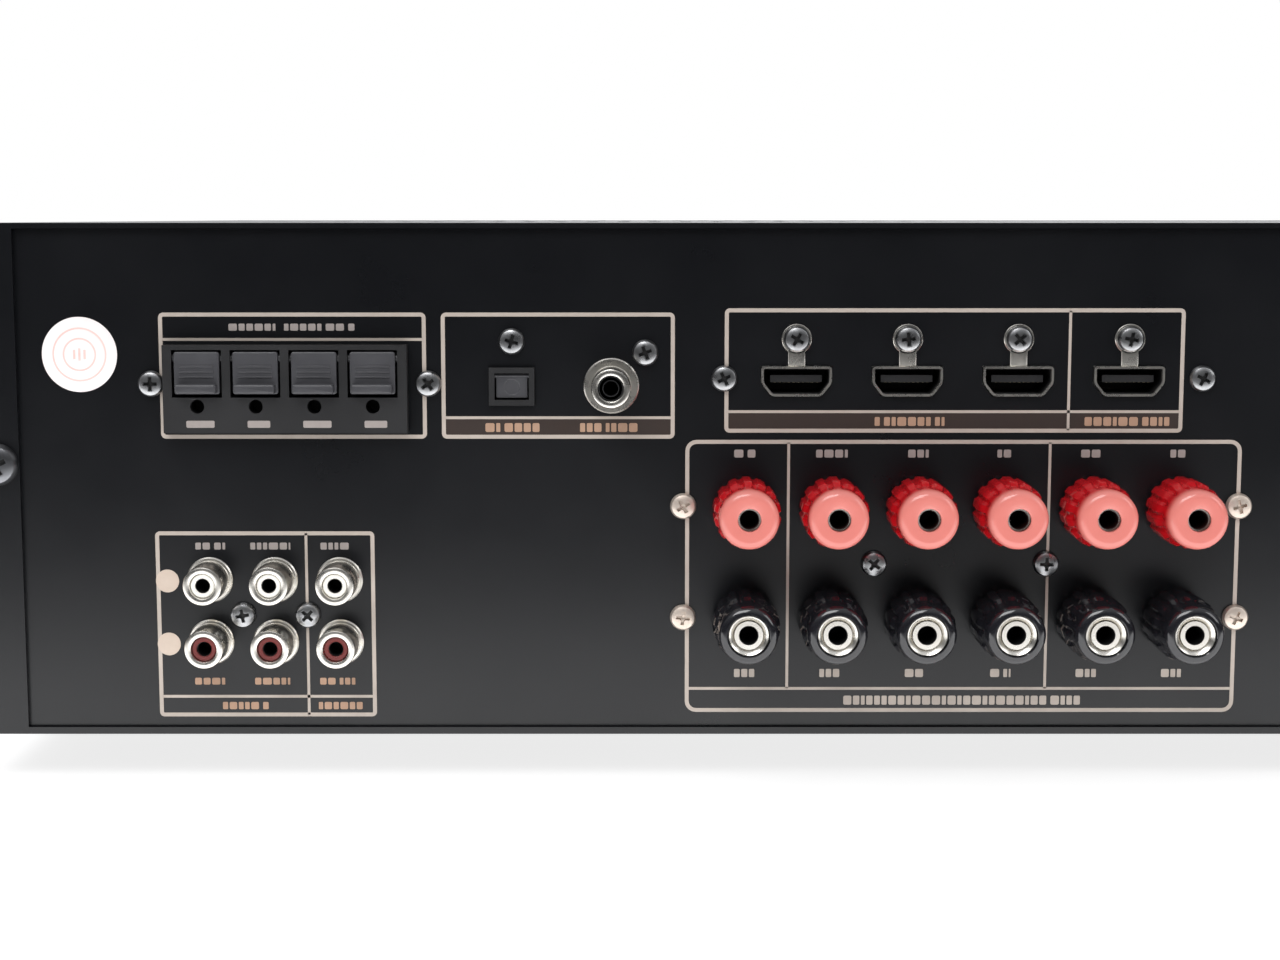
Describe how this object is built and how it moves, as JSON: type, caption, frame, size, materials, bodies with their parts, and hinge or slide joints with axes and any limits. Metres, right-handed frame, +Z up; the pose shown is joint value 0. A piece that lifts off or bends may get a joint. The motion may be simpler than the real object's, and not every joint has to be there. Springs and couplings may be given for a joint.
{
  "type": "power amplifier",
  "caption": "Full-width audio and video power amplifier in a black steel enclosure, with screw speaker posts, line jacks, video sockets and antenna levers on its rear panel.",
  "frame": {"origin": "under the middle of the whole object, on the surface that it stands on", "axes": "+X to the right for someone who looks at the rear panel, -Y the way the rear panel faces, +Z up"},
  "size_m": [0.4348, 0.357, 0.12],
  "materials": {
    "black_paint": "satin powder coat",
    "black_anodised": "fine brushed, black anodised",
    "grey_anodised": "turned, dark anodised",
    "window": "polished dark acrylic",
    "feet": "matt",
    "screws": "black nickel",
    "black_moulding": "moulded",
    "grey_moulding": "moulded",
    "nickel": "bright nickel plate",
    "brass": "nickelled brass",
    "white_moulding": "moulded",
    "red_moulding": "moulded",
    "red_cap": "clear red moulding",
    "black_cap": "smoky clear moulding",
    "button": "turned, dark anodised",
    "board_green": "solder mask",
    "board_brown": "paper board",
    "winding": "varnished wire under film",
    "heatsink": "extruded",
    "can_sleeve": "shrunk sleeve"
  },
  "bodies": {
    "amplifier": {"chassis_tray": "black_paint", "rear_panel": "black_paint", "top_cover": "black_paint", "front_panel": "black_anodised", "display_window": "window", "feet": "feet", "cover_screws": "screws", "panel_screws": "screws", "antenna_terminal_block": "black_moulding", "optical_socket": "black_moulding", "jack_housings": "black_moulding", "jack_shells": "nickel", "white_jack_inserts": "white_moulding", "red_jack_inserts": "red_moulding", "video_socket_shells": "nickel", "video_socket_tongues": "black_moulding", "speaker_terminal_board": "black_moulding", "post_studs": "nickel", "mains_inlet": "black_moulding", "mains_pins": "nickel", "control_board": "board_green", "transformer": "winding", "heatsink": "heatsink", "output_transistors": "black_moulding", "amplifier_board": "board_brown", "filter_capacitors": "can_sleeve", "digital_board": "board_green", "board_standoffs": "brass"},
    "antenna_lever_1": {"antenna_lever_1": "grey_moulding"},
    "antenna_lever_2": {"antenna_lever_2": "grey_moulding"},
    "antenna_lever_3": {"antenna_lever_3": "grey_moulding"},
    "antenna_lever_4": {"antenna_lever_4": "grey_moulding"},
    "optical_shutter": {"optical_shutter": "black_moulding"},
    "post_insert_1": {"post_insert_1": "brass"},
    "post_cap_1": {"post_cap_1": "red_cap"},
    "post_insert_2": {"post_insert_2": "brass"},
    "post_cap_2": {"post_cap_2": "red_cap"},
    "post_insert_3": {"post_insert_3": "brass"},
    "post_cap_3": {"post_cap_3": "red_cap"},
    "post_insert_4": {"post_insert_4": "brass"},
    "post_cap_4": {"post_cap_4": "red_cap"},
    "post_insert_5": {"post_insert_5": "brass"},
    "post_cap_5": {"post_cap_5": "red_cap"},
    "post_insert_6": {"post_insert_6": "brass"},
    "post_cap_6": {"post_cap_6": "red_cap"},
    "post_insert_7": {"post_insert_7": "brass"},
    "post_cap_7": {"post_cap_7": "black_cap"},
    "post_insert_8": {"post_insert_8": "brass"},
    "post_cap_8": {"post_cap_8": "black_cap"},
    "post_insert_9": {"post_insert_9": "brass"},
    "post_cap_9": {"post_cap_9": "black_cap"},
    "post_insert_10": {"post_insert_10": "brass"},
    "post_cap_10": {"post_cap_10": "black_cap"},
    "post_insert_11": {"post_insert_11": "brass"},
    "post_cap_11": {"post_cap_11": "black_cap"},
    "post_insert_12": {"post_insert_12": "brass"},
    "post_cap_12": {"post_cap_12": "black_cap"},
    "volume_knob": {"volume_knob": "grey_anodised"},
    "input_knob": {"input_knob": "grey_anodised"},
    "power_button": {"power_button": "button"}
  },
  "joints": [
    {"name": "antenna_lever_1_push", "type": "hinge", "parent": "amplifier", "child": "antenna_lever_1", "pos_m": [-0.1656, -0.1599, 0.09155], "axis": [1, 0, 0], "range_deg": [0, 14], "stiffness_Nm_per_rad": 0.02, "springref_deg": -20.05},
    {"name": "antenna_lever_2_push", "type": "hinge", "parent": "amplifier", "child": "antenna_lever_2", "pos_m": [-0.1532, -0.1599, 0.09155], "axis": [1, 0, 0], "range_deg": [0, 14], "stiffness_Nm_per_rad": 0.02, "springref_deg": -20.05},
    {"name": "antenna_lever_3_push", "type": "hinge", "parent": "amplifier", "child": "antenna_lever_3", "pos_m": [-0.1408, -0.1599, 0.09155], "axis": [1, 0, 0], "range_deg": [0, 14], "stiffness_Nm_per_rad": 0.02, "springref_deg": -20.05},
    {"name": "antenna_lever_4_push", "type": "hinge", "parent": "amplifier", "child": "antenna_lever_4", "pos_m": [-0.1284, -0.1599, 0.09155], "axis": [1, 0, 0], "range_deg": [0, 14], "stiffness_Nm_per_rad": 0.02, "springref_deg": -20.05},
    {"name": "optical_shutter_swing", "type": "hinge", "parent": "amplifier", "child": "optical_shutter", "pos_m": [-0.0991, -0.1584, 0.08765], "axis": [1, 0, 0], "range_deg": [0, 84], "stiffness_Nm_per_rad": 0.0004, "springref_deg": -28.65},
    {"name": "post_1_travel", "type": "slide", "parent": "amplifier", "child": "post_insert_1", "axis": [0, -1, 0], "range_m": [0, 0.005]},
    {"name": "post_1_turn", "type": "hinge", "parent": "post_insert_1", "child": "post_cap_1", "pos_m": [-0.04925, -0.1598, 0.0593], "axis": [0, -1, 0], "range_deg": [0, 1800]},
    {"name": "post_2_travel", "type": "slide", "parent": "amplifier", "child": "post_insert_2", "axis": [0, -1, 0], "range_m": [0, 0.005]},
    {"name": "post_2_turn", "type": "hinge", "parent": "post_insert_2", "child": "post_cap_2", "pos_m": [-0.03075, -0.1598, 0.0593], "axis": [0, -1, 0], "range_deg": [0, 1800]},
    {"name": "post_3_travel", "type": "slide", "parent": "amplifier", "child": "post_insert_3", "axis": [0, -1, 0], "range_m": [0, 0.005]},
    {"name": "post_3_turn", "type": "hinge", "parent": "post_insert_3", "child": "post_cap_3", "pos_m": [-0.01225, -0.1598, 0.0593], "axis": [0, -1, 0], "range_deg": [0, 1800]},
    {"name": "post_4_travel", "type": "slide", "parent": "amplifier", "child": "post_insert_4", "axis": [0, -1, 0], "range_m": [0, 0.005]},
    {"name": "post_4_turn", "type": "hinge", "parent": "post_insert_4", "child": "post_cap_4", "pos_m": [0.00625, -0.1598, 0.0593], "axis": [0, -1, 0], "range_deg": [0, 1800]},
    {"name": "post_5_travel", "type": "slide", "parent": "amplifier", "child": "post_insert_5", "axis": [0, -1, 0], "range_m": [0, 0.005]},
    {"name": "post_5_turn", "type": "hinge", "parent": "post_insert_5", "child": "post_cap_5", "pos_m": [0.02475, -0.1598, 0.0593], "axis": [0, -1, 0], "range_deg": [0, 1800]},
    {"name": "post_6_travel", "type": "slide", "parent": "amplifier", "child": "post_insert_6", "axis": [0, -1, 0], "range_m": [0, 0.005]},
    {"name": "post_6_turn", "type": "hinge", "parent": "post_insert_6", "child": "post_cap_6", "pos_m": [0.04325, -0.1598, 0.0593], "axis": [0, -1, 0], "range_deg": [0, 1800]},
    {"name": "post_7_travel", "type": "slide", "parent": "amplifier", "child": "post_insert_7", "axis": [0, -1, 0], "range_m": [0, 0.005]},
    {"name": "post_7_turn", "type": "hinge", "parent": "post_insert_7", "child": "post_cap_7", "pos_m": [-0.04925, -0.1598, 0.0351], "axis": [0, -1, 0], "range_deg": [0, 1800]},
    {"name": "post_8_travel", "type": "slide", "parent": "amplifier", "child": "post_insert_8", "axis": [0, -1, 0], "range_m": [0, 0.005]},
    {"name": "post_8_turn", "type": "hinge", "parent": "post_insert_8", "child": "post_cap_8", "pos_m": [-0.03075, -0.1598, 0.0351], "axis": [0, -1, 0], "range_deg": [0, 1800]},
    {"name": "post_9_travel", "type": "slide", "parent": "amplifier", "child": "post_insert_9", "axis": [0, -1, 0], "range_m": [0, 0.005]},
    {"name": "post_9_turn", "type": "hinge", "parent": "post_insert_9", "child": "post_cap_9", "pos_m": [-0.01225, -0.1598, 0.0351], "axis": [0, -1, 0], "range_deg": [0, 1800]},
    {"name": "post_10_travel", "type": "slide", "parent": "amplifier", "child": "post_insert_10", "axis": [0, -1, 0], "range_m": [0, 0.005]},
    {"name": "post_10_turn", "type": "hinge", "parent": "post_insert_10", "child": "post_cap_10", "pos_m": [0.00625, -0.1598, 0.0351], "axis": [0, -1, 0], "range_deg": [0, 1800]},
    {"name": "post_11_travel", "type": "slide", "parent": "amplifier", "child": "post_insert_11", "axis": [0, -1, 0], "range_m": [0, 0.005]},
    {"name": "post_11_turn", "type": "hinge", "parent": "post_insert_11", "child": "post_cap_11", "pos_m": [0.02475, -0.1598, 0.0351], "axis": [0, -1, 0], "range_deg": [0, 1800]},
    {"name": "post_12_travel", "type": "slide", "parent": "amplifier", "child": "post_insert_12", "axis": [0, -1, 0], "range_m": [0, 0.005]},
    {"name": "post_12_turn", "type": "hinge", "parent": "post_insert_12", "child": "post_cap_12", "pos_m": [0.04325, -0.1598, 0.0351], "axis": [0, -1, 0], "range_deg": [0, 1800]},
    {"name": "volume_turn", "type": "hinge", "parent": "amplifier", "child": "volume_knob", "pos_m": [-0.137, 0.1625, 0.068], "axis": [0, -1, 0], "range_deg": [-150, 150]},
    {"name": "input_turn", "type": "hinge", "parent": "amplifier", "child": "input_knob", "pos_m": [0.123, 0.1625, 0.068], "axis": [0, -1, 0], "continuous": true},
    {"name": "power_push", "type": "slide", "parent": "amplifier", "child": "power_button", "axis": [0, -1, 0], "range_m": [0, 0.003], "stiffness_N_per_m": 400, "springref_m": -0.004}
  ],
  "couplings": [
    {"joint": "post_1_turn", "follows": "post_1_travel", "rad_per_m": 6283.1},
    {"joint": "post_2_turn", "follows": "post_2_travel", "rad_per_m": 6283.1},
    {"joint": "post_3_turn", "follows": "post_3_travel", "rad_per_m": 6283.1},
    {"joint": "post_4_turn", "follows": "post_4_travel", "rad_per_m": 6283.1},
    {"joint": "post_5_turn", "follows": "post_5_travel", "rad_per_m": 6283.1},
    {"joint": "post_6_turn", "follows": "post_6_travel", "rad_per_m": 6283.1},
    {"joint": "post_7_turn", "follows": "post_7_travel", "rad_per_m": 6283.1},
    {"joint": "post_8_turn", "follows": "post_8_travel", "rad_per_m": 6283.1},
    {"joint": "post_9_turn", "follows": "post_9_travel", "rad_per_m": 6283.1},
    {"joint": "post_10_turn", "follows": "post_10_travel", "rad_per_m": 6283.1},
    {"joint": "post_11_turn", "follows": "post_11_travel", "rad_per_m": 6283.1},
    {"joint": "post_12_turn", "follows": "post_12_travel", "rad_per_m": 6283.1}
  ]
}
